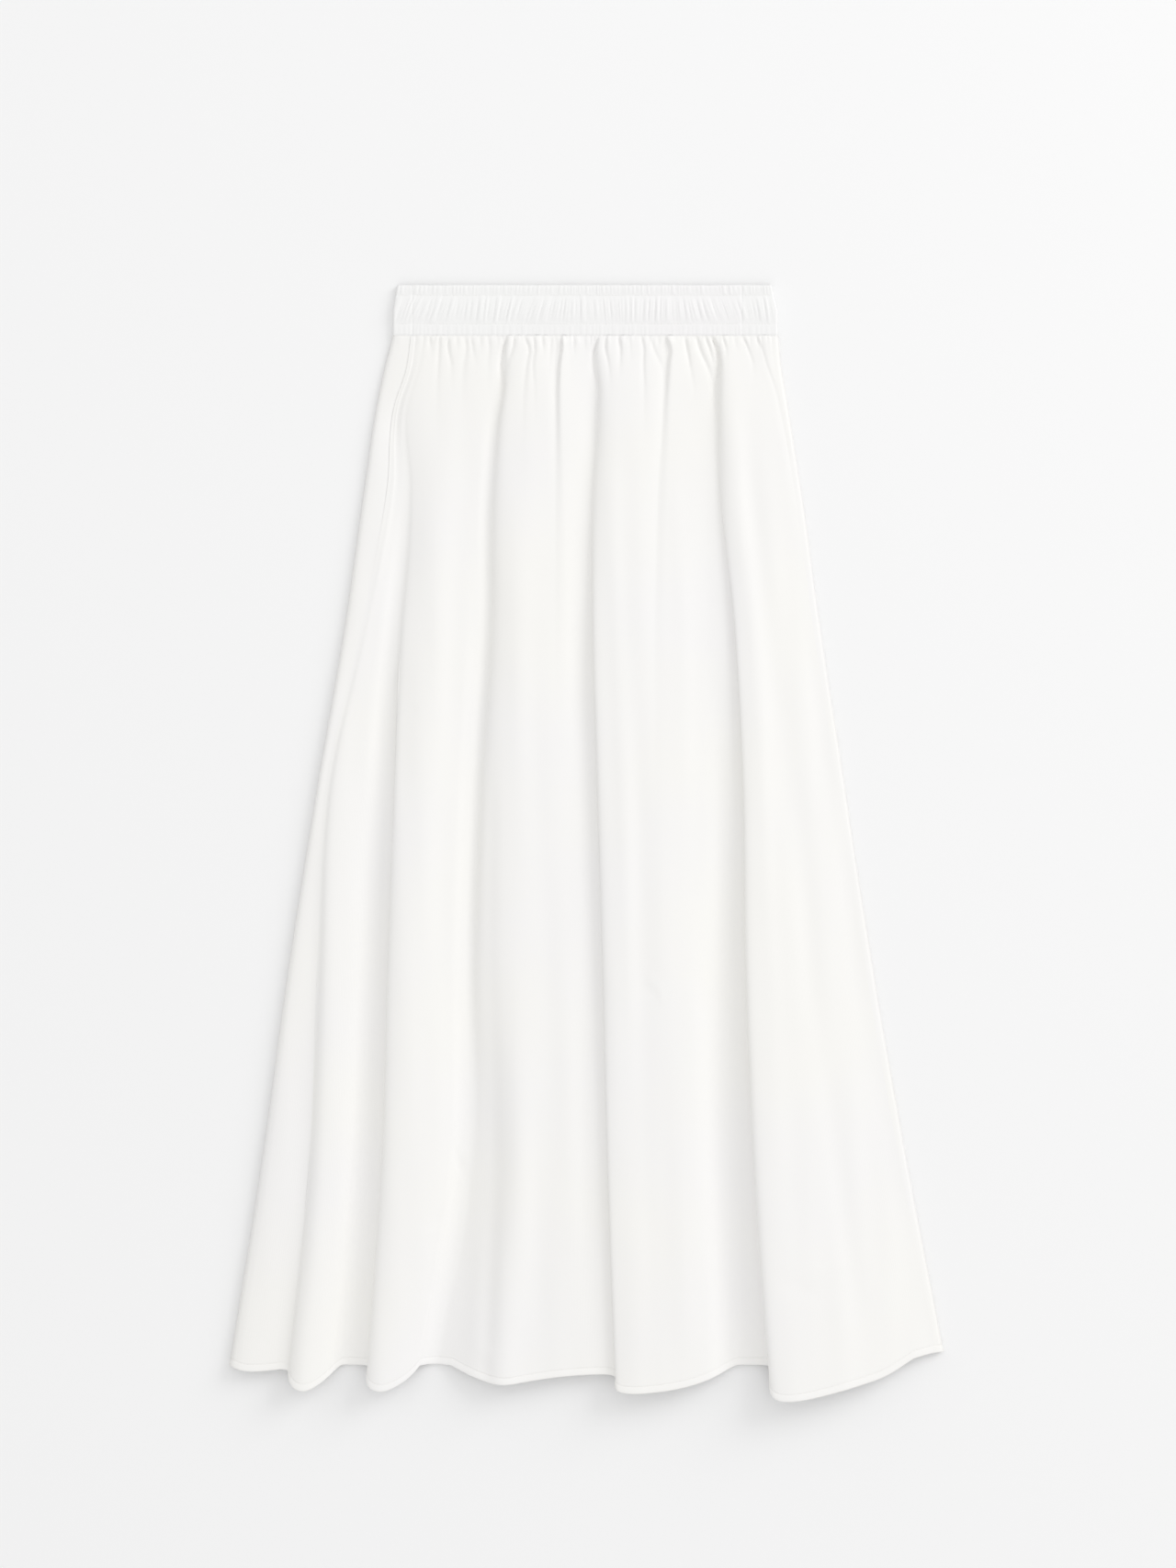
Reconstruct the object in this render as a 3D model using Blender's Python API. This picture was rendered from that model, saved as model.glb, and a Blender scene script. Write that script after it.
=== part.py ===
"""Gathered maxi skirt, laid flat with its front up.

Four cut pieces of white cotton poplin: the front and back of the skirt, and the front and back
of its elastic waistband. The waist points to +Y, the hem to -Y, and the underside lies on z = 0.
Each stretch of cloth is a closed loop of section points, read at many heights: the loop runs over
the front from the left seam to the right one, round the right edge, back along the flat
underside, and round the left edge. The front takes the first stretch of it and the back the rest.
Lengths in the tables are millimetres; the mesh is in metres.
"""

import bpy
import numpy as np

MM = 0.001

# Cloth and seams
CLOTH = 1.2  # wall of one layer of gathered poplin
SEAM_GAP = 0.3  # between pieces that are sewn together
FLOOR = 2.85  # lowest outer face of the front: back wall, gap and its own wall

# Overall sizes, as the skirt lies
BAND_HEIGHT = 45.0
BAND_SEAM_Y = 452.4  # the seam of band and skirt, above the middle of the length
SKIRT_LENGTH = 918.0  # from that seam to the hem, in a valley
HEM_BASE = 8.5  # height of the hem in its valleys
HEM_LEAD = 1.85  # a fold of the flared hem reaches this much lower for each mm above that
HEM_BACK = 0.2  # and the cloth below that height lies back by this much for each mm
CORNER_LIFT = 11.0  # the right corner of the hem lies higher than the rest

# Section counts
ROWS = 18
COLUMN_STEP = 2.8  # between columns of the front, along the waist
LEAST_COLUMNS = 3  # in each stretch between two control points
BACK_COLUMNS = 3  # the same, on the back

# Lines down the skirt: x in mm at each depth below the band seam
DEPTHS = (0, 30, 62, 135, 258, 397, 561, 725, SKIRT_LENGTH)
LINES = {
    "left_edge": (-172.6, -180.4, -187.0, -198.0, -215.3, -239.0, -265.3, -288.2, -318.6),
    "left_seam": (-155.4, -159.5, -170.2, -176.0, -199.0, -229.2, -238.2, -244.8, -264.5),
    "pocket_fold": (-145.5, -150.0, -158.7, -158.7, -166.9, -171.0, -176.7, -181.6, -195.6),
    "soft_fold": (-74.2, -74.2, -78.3, -84.1, -84.9, -93.1, -98.0, -98.0, -130.0),
    "middle_fold": (5.3, 7.8, 8.6, 5.3, 5.3, 9.4, 14.4, 18.5, 25.8),
    "right_fold": (115.2, 116.8, 115.6, 118.5, 131.6, 139.0, 141.4, 148.0, 162.0),
    "right_edge": (171.0, 174.2, 179.6, 191.5, 208.7, 230.0, 255.0, 282.5, 318.6),
}
SIDE_SEAM_INSET = 7.0  # the right side seam, in from the right edge
SEAM_FLAT, SEAM_RISE = 8.0, 1.0  # the cloth meets that seam on a slope this much longer, higher
EDGE_TURN = 0.6  # depth of the turned side edges, as a share of their height
EDGE_HIGH, EDGE_LOW = 0.85, 0.12  # the two points that round such an edge, as shares of it
EDGE_OUT = 0.25  # and how far they stand out, so that the curve reaches the edge
SPLINE_LOSS = 1.05  # a soft curve stays this much below its crest's control point

# Heights in mm of each fold's crest, and of the valley at its left, at these depths
HEIGHT_DEPTHS = (0, 30, 135, 258, 400, SKIRT_LENGTH)
CRESTS = {
    "left_edge": (4.6, 5.4, 6.6, 7.2, 8.0, 11.0),
    "left_seam": (4.8, 5.8, 6.8, 7.8, 11.5, 20.0),
    "pocket_fold": (5.0, 7.0, 8.4, 11.5, 15.0, 20.0),
    "soft_fold": (5.0, 7.6, 9.5, 11.3, 13.0, 17.0),
    "middle_fold": (5.0, 8.0, 10.5, 13.0, 15.5, 20.5),
    "right_fold": (5.0, 8.0, 11.0, 14.3, 17.5, 25.0),
}
VALLEYS = {
    "left_seam": (4.6, 5.6, 6.6, 7.4, 8.0, 8.5),
    "pocket_fold": (4.5, 5.6, 6.2, 6.0, 6.0, 9.0),
    "soft_fold": (4.2, 4.0, 4.0, 4.0, 4.4, 7.5),
    "middle_fold": (4.2, 3.9, 3.4, 4.0, 5.5, 11.5),
    "right_fold": (4.2, 3.7, 3.1, 3.4, 4.5, 8.5),
    "right_edge": (4.6, 4.7, 4.6, 4.5, 4.5, 4.8),
}

# How each fold lies. tuck: how far its valley runs under it. roll, hem_roll: how far in its crest
# stands, higher up and at the hem. lip: height of its left edge as a share of its crest. floor:
# width of the next valley's floor. starts, full: the depths where the roll begins and is whole.
# shoulder, tail: heights further right as shares of the crest, and their places as shares of the
# width.
FORMS = {
    "left_seam": dict(tuck=4, roll=9, hem_roll=9, lip=0.9, floor=18, starts=300, full=620,
                      shoulder=0.9, shoulder_at=0.42, tail=0.55, tail_at=0.68),
    "pocket_fold": dict(tuck=7, roll=9, hem_roll=9, lip=1.0, floor=18, starts=80, full=380,
                        shoulder=0.95, shoulder_at=0.40, tail=0.82, tail_at=0.72),
    "soft_fold": dict(tuck=-2, roll=17, hem_roll=46, lip=0.16, floor=18, starts=20, full=330,
                      shoulder=0.98, shoulder_at=0.42, tail=0.78, tail_at=0.74),
    "middle_fold": dict(tuck=6, roll=9, hem_roll=9, lip=0.85, floor=18, starts=20, full=330,
                        shoulder=0.98, shoulder_at=0.34, tail=0.60, tail_at=0.68),
    "right_fold": dict(tuck=8, roll=11, hem_roll=11, lip=1.0, floor=8, starts=20, full=330,
                       shoulder=0.88, shoulder_at=0.36, tail=0.40, tail_at=0.70),
}
WAIST_STEP = 1.8  # half the width of a valley's floor where it leaves the band, at most
WAIST_ROLL = 6.0  # and how far in its crest stands there, at most
FLOOR_SHARE = 0.25  # the most that a valley's floor takes of its fold's width

# Gathers under the band: place along it, depth as a share of the height, length down the skirt
GATHERS = (
    dict(at=-136, depth=0.50, length=45, width=3.6),
    dict(at=-124, depth=0.55, length=60, width=3.8),
    dict(at=-109, depth=0.55, length=110, width=4.4),
    dict(at=-98, depth=0.40, length=35, width=3.2),
    dict(at=-87, depth=0.55, length=70, width=3.6),
    dict(at=-64, depth=0.50, length=55, width=3.4),
    dict(at=-53, depth=0.50, length=80, width=3.6),
    dict(at=-40, depth=0.45, length=45, width=3.4),
    dict(at=-32, depth=0.45, length=60, width=3.0),
    dict(at=-23, depth=0.60, length=260, width=4.4),
    dict(at=-13, depth=0.45, length=50, width=3.2),
    dict(at=17, depth=0.50, length=50, width=3.4),
    dict(at=29, depth=0.60, length=90, width=3.8),
    dict(at=39, depth=0.45, length=45, width=3.2),
    dict(at=50, depth=0.50, length=60, width=3.4),
    dict(at=60, depth=0.45, length=40, width=3.2),
    dict(at=71, depth=0.60, length=400, width=5.0),
    dict(at=89, depth=0.55, length=75, width=4.0),
    dict(at=101, depth=0.55, length=60, width=3.4),
    dict(at=126, depth=0.50, length=55, width=3.4),
    dict(at=134, depth=0.45, length=40, width=3.0),
    dict(at=142, depth=0.50, length=70, width=3.2),
    dict(at=152, depth=0.45, length=45, width=3.4),
)

MOST_PRESSED = 0.75  # where two gathers meet

# Waistband: profile from the skirt seam up, and its gathers over the elastic
BAND_LEFT_SEAM = -155.4
BAND_RIGHT_SEAM = 138.2
BAND_ENDS = {"left": (-172.9, -172.6, -168.9), "right": (170.2, 169.8, 164.6)}  # x going up
BAND_PROFILE = dict(
    up=(0.15, 10.5, 16.0, 29.5, 36.0, 45.0),  # height on the band
    out=(4.6, 4.5, 5.3, 5.3, 4.5, 4.7),  # outer face, in the gathers' hollows
    ridge=(0.15, 0.15, 1.5, 1.5, 0.35, 0.5),  # how far the gathers rise there
)
BAND_WALL = 2.0  # casing of two layers with the elastic between
BAND_INNER = 2.5  # inner face of the front casing
BAND_ROUND = 2.4  # rounding of the band's ends
BAND_GATHER = 6.3  # spacing of the gathers over the elastic
BAND_SLANT = 0.10  # how far they lean, for each mm of height
COLUMNS_PER_GATHER = 5
END_STEPS = 7  # points round each end
UNDER_SHARES = np.array([0.25, 0.5, 0.75])  # columns of the underside between the ends


def smooth_table(depths, values, at):
    """Values of a table at any depth: a cubic between two columns, with the slopes that the
    neighbouring columns give."""
    depths = np.asarray(depths, float)
    values = np.asarray(values, float)
    slopes = np.gradient(values, depths)
    left = np.clip(np.searchsorted(depths, at, side="right") - 1, 0, len(depths) - 2)
    step = depths[left + 1] - depths[left]
    t = (at - depths[left]) / step
    start = (1 + 2 * t) * (1 - t) ** 2 * values[left] + t * (1 - t) ** 2 * step * slopes[left]
    end = t**2 * (3 - 2 * t) * values[left + 1] + t**2 * (t - 1) * step * slopes[left + 1]
    return start + end


def ease(value, start, end):
    """0 before start, 1 after end, and an even S-curve between them."""
    t = np.clip((value - start) / (end - start), 0, 1)
    return t * t * (3 - 2 * t)


def mix(first, second, share):
    return first + (second - first) * share


def spline(controls, places):
    """A closed cubic B-spline through soft control points, read at places along it, where whole
    numbers lie beside the control points."""
    first = np.floor(places).astype(int)
    t = (places - first)[:, None, None]
    weights = ((1 - t) ** 3, 3 * t**3 - 6 * t**2 + 4, -3 * t**3 + 3 * t**2 + 3 * t + 1, t**3)
    count = len(controls)
    return sum(w * controls[(first + k - 1) % count] for k, w in enumerate(weights)) / 6


def fold_controls(name, following, depth):
    """Six control points for a fold: its valley's corner, its left edge, its crest, shoulder
    and tail, and the far valley's floor. Near the band they part into a plain soft valley."""
    form = FORMS[name]
    x = smooth_table(DEPTHS, LINES[name], depth)
    far_x = smooth_table(DEPTHS, LINES[following], depth)
    crest = smooth_table(HEIGHT_DEPTHS, CRESTS[name], depth)
    valley = smooth_table(HEIGHT_DEPTHS, VALLEYS[name], depth)
    far_valley = smooth_table(HEIGHT_DEPTHS, VALLEYS[following], depth)
    rolled = ease(depth, form["starts"], form["full"])
    width = far_x - x
    waist_step = np.minimum(WAIST_STEP, 0.08 * width)
    waist_roll = np.minimum(WAIST_ROLL, 0.25 * width)
    floor = mix(2 * waist_step, form["floor"], ease(depth, 0, 400))
    floor = np.minimum(floor, FLOOR_SHARE * width)
    edge_back = (form["tuck"] + form["roll"]) / 4
    roll = mix(form["roll"], form["hem_roll"], ease(depth, 400, SKIRT_LENGTH))
    return [
        (x + mix(-waist_step, form["tuck"], rolled), valley),
        (x + mix(waist_step, -edge_back, rolled), mix(valley, crest, form["lip"] * rolled)),
        (x + mix(waist_roll, roll, rolled), crest * SPLINE_LOSS),
        (x + form["shoulder_at"] * width, crest * form["shoulder"]),
        (x + form["tail_at"] * width, mix(valley, crest, form["tail"])),
        (far_x - floor, far_valley),
    ]


def right_controls(depth):
    """The right side: the slope to the side seam, the seam, the turned edge and the underside."""
    x = smooth_table(DEPTHS, LINES["right_edge"], depth)
    top = smooth_table(HEIGHT_DEPTHS, VALLEYS["right_edge"], depth)
    flat = 0 * depth
    turn = EDGE_TURN * top
    return [
        (x - SIDE_SEAM_INSET, top),
        (x + EDGE_OUT, EDGE_HIGH * top),
        (x + EDGE_OUT, EDGE_LOW * top),
        (x - turn, flat),
        (x - 5 * turn, flat),
    ]


def left_controls(depth):
    """The left side: the underside, the turned edge and the low roll beside the left seam."""
    x = smooth_table(DEPTHS, LINES["left_edge"], depth)
    seam = smooth_table(DEPTHS, LINES["left_seam"], depth)
    crest = smooth_table(HEIGHT_DEPTHS, CRESTS["left_edge"], depth)
    valley = smooth_table(HEIGHT_DEPTHS, VALLEYS["left_seam"], depth)
    flat = 0 * depth
    width = seam - x
    turn = EDGE_TURN * crest
    return [
        (x + 5 * turn, flat),
        (x + turn, flat),
        (x - EDGE_OUT, EDGE_LOW * crest),
        (x - EDGE_OUT, EDGE_HIGH * crest),
        (x + 0.3 * width, crest * SPLINE_LOSS),
        (x + 0.74 * width, mix(valley, crest, 0.7)),
    ]


def skirt_controls(depth):
    """All the control points of the skirt's loop, and the place of the right seam in it."""
    names = list(FORMS)
    points = []
    for name, following in zip(names, names[1:] + ["right_edge"]):
        points += fold_controls(name, following, depth)
    points[-1] = (points[-1][0] - SEAM_FLAT, points[-1][1] + SEAM_RISE)
    right_seam = len(points)
    points += right_controls(depth)
    points += left_controls(depth)
    return np.array([np.stack(p, axis=-1) for p in points]), right_seam


def column_places(waist_x, right_seam):
    """Where the loop is read: on the front, columns as close as the gathers need, and on the
    back a few in each stretch."""
    places = []
    for span in range(len(waist_x)):
        count = BACK_COLUMNS
        if span < right_seam:
            width = abs(waist_x[span + 1] - waist_x[span])
            count = max(LEAST_COLUMNS, round(width / COLUMN_STEP))
        places += list(span + np.arange(count) / count)
    return np.array(places)


def gather_share(waist_x, depth):
    """How far the gathers press the cloth down towards its floor, as a share of its height."""
    pressed = np.zeros((len(waist_x), len(depth)))
    for gather in GATHERS:
        across = np.exp(-(((waist_x - gather["at"]) / gather["width"]) ** 2))
        down = np.exp(-((depth / gather["length"]) ** 2))
        pressed += gather["depth"] * across[:, None] * down[None, :]
    return np.minimum(pressed, MOST_PRESSED)


def section_normals(x, z):
    """Unit normals in each section of a closed loop, from the directions to both neighbours."""
    def unit(dx, dz):
        length = np.hypot(dx, dz)
        return dx / length, dz / length

    ahead = unit(np.roll(x, -1, 0) - x, np.roll(z, -1, 0) - z)
    behind = unit(x - np.roll(x, 1, 0), z - np.roll(z, 1, 0))
    tangent = unit(ahead[0] + behind[0], ahead[1] + behind[1])
    return -tangent[1], tangent[0], tangent


def skirt_loop():
    """Outer and inner points of the whole skirt, column by column, the directions along its
    sections, and the column of the right seam."""
    depth = SKIRT_LENGTH * np.linspace(0, 1, ROWS) ** 2
    controls, right_seam = skirt_controls(depth)
    knots = spline(controls, np.arange(len(controls)))
    places = column_places(knots[:, 0, 0], right_seam)
    points = spline(controls, places)
    x, z = points[..., 0], points[..., 1]
    front = places <= right_seam
    pressed = gather_share(x[:, 0], depth)
    z = np.where(front[:, None], FLOOR + (z - FLOOR) * (1 - pressed), z)
    above = z[:, -1:] - HEM_BASE
    lift = CORNER_LIFT * ease(x[:, -1:], 0.8 * x[:, -1].max(), x[:, -1].max())
    lead = above * np.where(above > 0, HEM_LEAD, HEM_BACK) - lift
    y = BAND_SEAM_Y - SEAM_GAP / 2 - depth - lead * ease(depth, 0.5 * SKIRT_LENGTH, SKIRT_LENGTH)
    nx, nz, tangent = section_normals(x, z)
    outer = np.stack([x, y, z], axis=-1)
    inner = np.stack([x - CLOTH * nx, y, z - CLOTH * nz], axis=-1)
    along = np.stack([tangent[0], 0 * x, tangent[1]], axis=-1)
    return outer, inner, along, int(np.argmax(places >= right_seam))


def band_top(x, up):
    """Outer face of the band: its profile and the uneven, slanting gathers over the elastic."""
    face = np.interp(up, BAND_PROFILE["up"], BAND_PROFILE["out"])
    rise = np.interp(up, BAND_PROFILE["up"], BAND_PROFILE["ridge"])
    turns = (x + BAND_SLANT * up * np.sin(x / 47.0)) / BAND_GATHER
    uneven = 0.16 * np.sin(x / 9.1) + 0.12 * np.sin(x / 23.7 + 1.3)
    swell = 0.75 + 0.25 * np.sin(x / 14.3 + 0.7)
    return face + rise * swell * (0.5 + 0.5 * np.cos(2 * np.pi * (turns + uneven)))


def band_end_x(side, up):
    """X of the band's left or right end at each height on the band."""
    return np.interp(up, (0, BAND_HEIGHT / 2, BAND_HEIGHT), BAND_ENDS[side])


def grid_piece(name, outer, inner, material, collection):
    """A closed wall from a grid of outer points and one of inner points: both faces and the
    four edges between. A plain inner face may have just its first and last row."""
    columns, rows = outer.shape[:2]
    outside = np.arange(columns * rows).reshape(columns, rows)
    inside = outside.size + np.arange(columns * inner.shape[1]).reshape(columns, -1)

    def quads(grid):
        a, b, c, d = grid[:-1, :-1], grid[1:, :-1], grid[1:, 1:], grid[:-1, 1:]
        return np.stack([a, b, c, d], axis=-1).reshape(-1, 4).tolist()

    def edge(first, second):
        if len(first) > len(second):
            return [first.tolist()[::-1] + second.tolist()]
        return np.stack([first[:-1], second[:-1], second[1:], first[1:]], axis=-1).tolist()

    faces = quads(inside) + edge(outside[:, -1], inside[:, -1]) + edge(outside[0], inside[0])
    turned = quads(outside) + edge(outside[:, 0], inside[:, 0]) + edge(outside[-1], inside[-1])
    faces += [face[::-1] for face in turned]
    points = np.concatenate([outer.reshape(-1, 3), inner.reshape(-1, 3)]) * MM
    mesh = bpy.data.meshes.new(name)
    mesh.from_pydata(points.tolist(), [], faces)
    mesh.validate()
    mesh.shade_smooth()
    mesh.materials.append(material)
    piece = bpy.data.objects.new(name, mesh)
    collection.objects.link(piece)
    return piece


def skirt_pieces(material, collection):
    """The front and back of the skirt, cut from the loop at its two seams."""
    outer, inner, along, right = skirt_loop()
    half_gap = SEAM_GAP / 2

    def stretch(columns):
        pair = []
        for face in (outer, inner):
            points = face[columns].copy()
            points[0] += half_gap * along[columns[0]]
            points[-1] -= half_gap * along[columns[-1]]
            pair.append(points)
        return pair

    front = np.arange(right + 1)
    back = np.append(np.arange(right, len(outer)), 0)
    grid_piece("skirt_front", *stretch(front), material, collection)
    grid_piece("skirt_back", *stretch(back), material, collection)


def band_front(material, collection):
    """The front of the band: gathered outside, plain inside."""
    up = np.array(BAND_PROFILE["up"])[::-1]
    span = BAND_RIGHT_SEAM - BAND_LEFT_SEAM - SEAM_GAP
    count = round(span / BAND_GATHER * COLUMNS_PER_GATHER)
    x = BAND_LEFT_SEAM + SEAM_GAP / 2 + span * np.linspace(0, 1, count + 1)
    x, up = np.meshgrid(x, up, indexing="ij")
    y = BAND_SEAM_Y + up
    outer = np.stack([x, y, band_top(x, up)], axis=-1)
    inner = np.stack([x, y, np.full_like(x, BAND_INNER)], axis=-1)[:, [0, -1]]
    grid_piece("waistband_front", outer, inner, material, collection)


def band_back(material, collection):
    """The back of the band: flat underneath, turned up round both ends to the side seams. Its
    loop is the right stretch of the top, the right end, the underside, the left end and the
    left stretch of the top, and the plain inside follows it as a thin slot."""
    up = np.array(BAND_PROFILE["up"])[::-1]
    right_end, left_end = band_end_x("right", up), band_end_x("left", up)
    turn = np.linspace(0, np.pi, END_STEPS)[1:, None]
    under_x = mix(right_end - BAND_ROUND, left_end + BAND_ROUND, UNDER_SHARES[:, None])

    def top(seam, end, way):
        start = seam + way * SEAM_GAP / 2
        count = round(abs(end.mean() - seam) / BAND_GATHER * COLUMNS_PER_GATHER)
        return mix(start, end - way * BAND_ROUND, np.linspace(0, 1, count)[:, None])

    def end(end_x, way, width, low, high):
        x = end_x - way * BAND_ROUND + way * width * np.sin(turn)
        return x, (high + low) / 2 + (high - low) / 2 * np.cos(turn) + 0 * x

    def loop(width, low, top_z):
        right_z, left_z = top_z(right_x), top_z(left_x)
        right = end(right_end, 1, width, low, right_z[-1])
        left = end(left_end, -1, width, low, left_z[-1])
        x = [right_x, right[0], under_x, left[0][::-1], left_x[::-1]]
        z = [right_z, right[1], low + 0 * under_x, left[1][::-1], left_z[::-1]]
        x = np.concatenate(x)
        y = BAND_SEAM_Y + np.broadcast_to(up, x.shape)
        return np.stack([x, y, np.concatenate(z)], axis=-1)

    right_x, left_x = top(BAND_RIGHT_SEAM, right_end, 1), top(BAND_LEFT_SEAM, left_end, -1)
    outer = loop(BAND_ROUND, 0.0, lambda x: band_top(x, up))
    slot = (BAND_INNER - BAND_WALL) / 2
    inner = loop(slot, BAND_WALL, lambda x: BAND_INNER + 0 * x)[:, [0, -1]]
    grid_piece("waistband_back", outer, inner, material, collection)


def poplin():
    """White cotton poplin: matt, with a faint warm cast."""
    material = bpy.data.materials.new("white_cotton_poplin")
    material.use_nodes = True
    shader = material.node_tree.nodes["Principled BSDF"]
    shader.inputs["Base Color"].default_value = (0.88, 0.87, 0.85, 1)
    shader.inputs["Roughness"].default_value = 0.75
    shader.inputs["Metallic"].default_value = 0.0
    return material


def main():
    for old in list(bpy.data.objects):
        bpy.data.objects.remove(old, do_unlink=True)
    collection = bpy.data.collections.new("gathered_maxi_skirt")
    bpy.context.scene.collection.children.link(collection)
    material = poplin()
    skirt_pieces(material, collection)
    band_front(material, collection)
    band_back(material, collection)


main()
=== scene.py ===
# %% [markdown]
# # A gathered maxi skirt, laid flat
# A white cotton poplin skirt lies on its back on a pale table. Four pieces of cloth are sewn
# together: the front and back of the skirt, and the front and back of an elastic waistband.
# The solids already fix where each piece lies. This script loads them and lays finer cloth on
# the same form, with the small gathers, puckers and stitches that a real skirt has.

import bpy
import numpy as np
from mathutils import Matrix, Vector


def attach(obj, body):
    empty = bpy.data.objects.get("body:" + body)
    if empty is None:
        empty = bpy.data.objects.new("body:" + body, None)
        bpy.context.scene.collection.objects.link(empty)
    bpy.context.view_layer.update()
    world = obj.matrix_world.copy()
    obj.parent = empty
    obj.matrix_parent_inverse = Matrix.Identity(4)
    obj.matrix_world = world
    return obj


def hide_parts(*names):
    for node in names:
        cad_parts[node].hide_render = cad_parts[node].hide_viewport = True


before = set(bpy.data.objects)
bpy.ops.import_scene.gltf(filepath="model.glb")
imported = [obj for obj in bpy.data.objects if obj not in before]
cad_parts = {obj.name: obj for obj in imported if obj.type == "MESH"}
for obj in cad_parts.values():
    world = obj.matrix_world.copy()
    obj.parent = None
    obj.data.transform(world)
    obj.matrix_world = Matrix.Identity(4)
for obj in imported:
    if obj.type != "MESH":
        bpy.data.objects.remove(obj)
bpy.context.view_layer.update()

# %% [markdown]
# ## Measures
# A tailor would write these on the pattern: lengths are in millimetres, and only the last step
# turns them into metres. Down the skirt, depth is the distance below the waistband's seam.

# %% The sizes that everything else follows
MM = 0.001
BAND_HEIGHT = 45.0
BAND_SEAM_Y = 452.4
SKIRT_LENGTH = 918.0
HEM_BASE = 8.5  # height of the hem in its valleys
HEM_LEAD = 1.85  # a fold of the flared hem reaches this much lower for each mm above that
HEM_BACK = 0.2  # and the cloth below that height lies back by this much for each mm
CORNER_LIFT = 11.0  # the hem's right corner is drawn up by this much
LOWEST = 1.4  # no crease of the front goes lower, over the back
HEM_TURN = 6.5  # depth of the narrow turned hem
BODY_DEPTH = 400.0  # the gathered top gives way to the plain flared cloth about here
print("skirt of", SKIRT_LENGTH, "mm under a band of", BAND_HEIGHT, "mm")

# %% [markdown]
# ## Reading a table smoothly
# The shape is known at a few depths only. Straight lines between them would leave kinks in the
# folds, so each stretch is a cubic whose slopes come from its neighbours. The curve across the
# skirt is a B-spline, which never overshoots: a fold can't dip through the cloth below it.

# %% Four small helpers for curves
def smooth_table(depths, values, at):
    """Cubic Hermite between two columns of a table: the values at its ends, weighted by
    (1 + 2t)(1 - t)^2 and t^2(3 - 2t), and the neighbours' slopes by t(1 - t)^2 and t^2(t - 1)."""
    depths, values = np.asarray(depths, float), np.asarray(values, float)
    slopes = np.gradient(values, depths)
    left = np.clip(np.searchsorted(depths, at, side="right") - 1, 0, len(depths) - 2)
    step = depths[left + 1] - depths[left]
    t = (at - depths[left]) / step
    start = (1 + 2 * t) * (1 - t) ** 2 * values[left] + t * (1 - t) ** 2 * step * slopes[left]
    end = t**2 * (3 - 2 * t) * values[left + 1] + t**2 * (t - 1) * step * slopes[left + 1]
    return start + end


def ease(value, start, end):
    """3t^2 - 2t^3, where t runs from 0 at start to 1 at end."""
    t = np.clip((value - start) / (end - start), 0, 1)
    return t * t * (3 - 2 * t)


def mix(first, second, share):
    """first + (second - first) * share."""
    return first + (second - first) * share


def spline(controls, places):
    """Closed uniform cubic B-spline: four neighbours weighted by (1-t)^3, 3t^3 - 6t^2 + 4,
    -3t^3 + 3t^2 + 3t + 1 and t^3, over 6."""
    first = np.floor(places).astype(int)
    t = (places - first)[:, None, None]
    weights = ((1 - t) ** 3, 3 * t**3 - 6 * t**2 + 4, -3 * t**3 + 3 * t**2 + 3 * t + 1, t**3)
    count = len(controls)
    return sum(w * controls[(first + k - 1) % count] for k, w in enumerate(weights)) / 6


# %% [markdown]
# ## The folds
# A flared skirt that is laid down falls into a few large folds. Each has a crisp left edge that
# rolls over the valley beside it, and a top that slopes away to the right. A row of LINES is one
# fold's left edge, as x at each of these depths, CRESTS is how high the fold stands, and VALLEYS
# is how high the cloth lies at its left. The outermost rows are the skirt's own edges.
#
# FORMS has a fold's section, in mm or as shares of its width and height: tuck is how far the
# valley runs on under the edge, roll and, at the hem, hem_roll how far the edge rounds to its top,
# lip how high the edge's foot stands, and floor how much of the next valley is level. Shoulder
# and tail are two points of the slope. The fold starts at one depth, and is full at another.

# %% Where each fold runs, and how high it stands
DEPTHS = (0, 30, 62, 135, 258, 397, 561, 725, SKIRT_LENGTH)
LINES = {
    "left_edge": (-172.6, -180.4, -187.0, -198.0, -215.3, -239.0, -265.3, -288.2, -318.6),
    "left_seam": (-155.4, -159.5, -170.2, -176.0, -199.0, -229.2, -238.2, -244.8, -264.5),
    "pocket_fold": (-145.5, -151.0, -161.0, -159.2, -166.9, -171.0, -176.7, -181.6, -195.6),
    "soft_fold": (-74.2, -74.2, -78.3, -84.1, -84.9, -93.1, -98.0, -98.0, -130.0),
    "middle_fold": (5.3, 7.8, 8.6, 5.3, 5.3, 9.4, 14.4, 18.5, 25.8),
    "right_fold": (115.2, 116.8, 115.6, 118.5, 131.6, 139.0, 141.4, 148.0, 162.0),
    "right_edge": (171.0, 174.2, 179.6, 191.5, 208.7, 230.0, 255.0, 282.5, 318.6),
}
HEIGHT_DEPTHS = (0, 30, 135, 258, 400, SKIRT_LENGTH)
CRESTS = {
    "left_edge": (4.6, 5.0, 5.9, 7.0, 8.0, 11.0),
    "left_seam": (4.5, 5.3, 6.2, 7.0, 10.8, 20.0),
    "pocket_fold": (4.9, 6.0, 7.6, 11.0, 15.0, 20.0),
    "soft_fold": (5.0, 7.6, 9.5, 11.3, 13.0, 17.0),
    "middle_fold": (5.0, 8.0, 10.5, 13.0, 15.5, 20.5),
    "right_fold": (5.0, 7.8, 9.8, 11.2, 13.8, 24.0),
}
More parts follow.
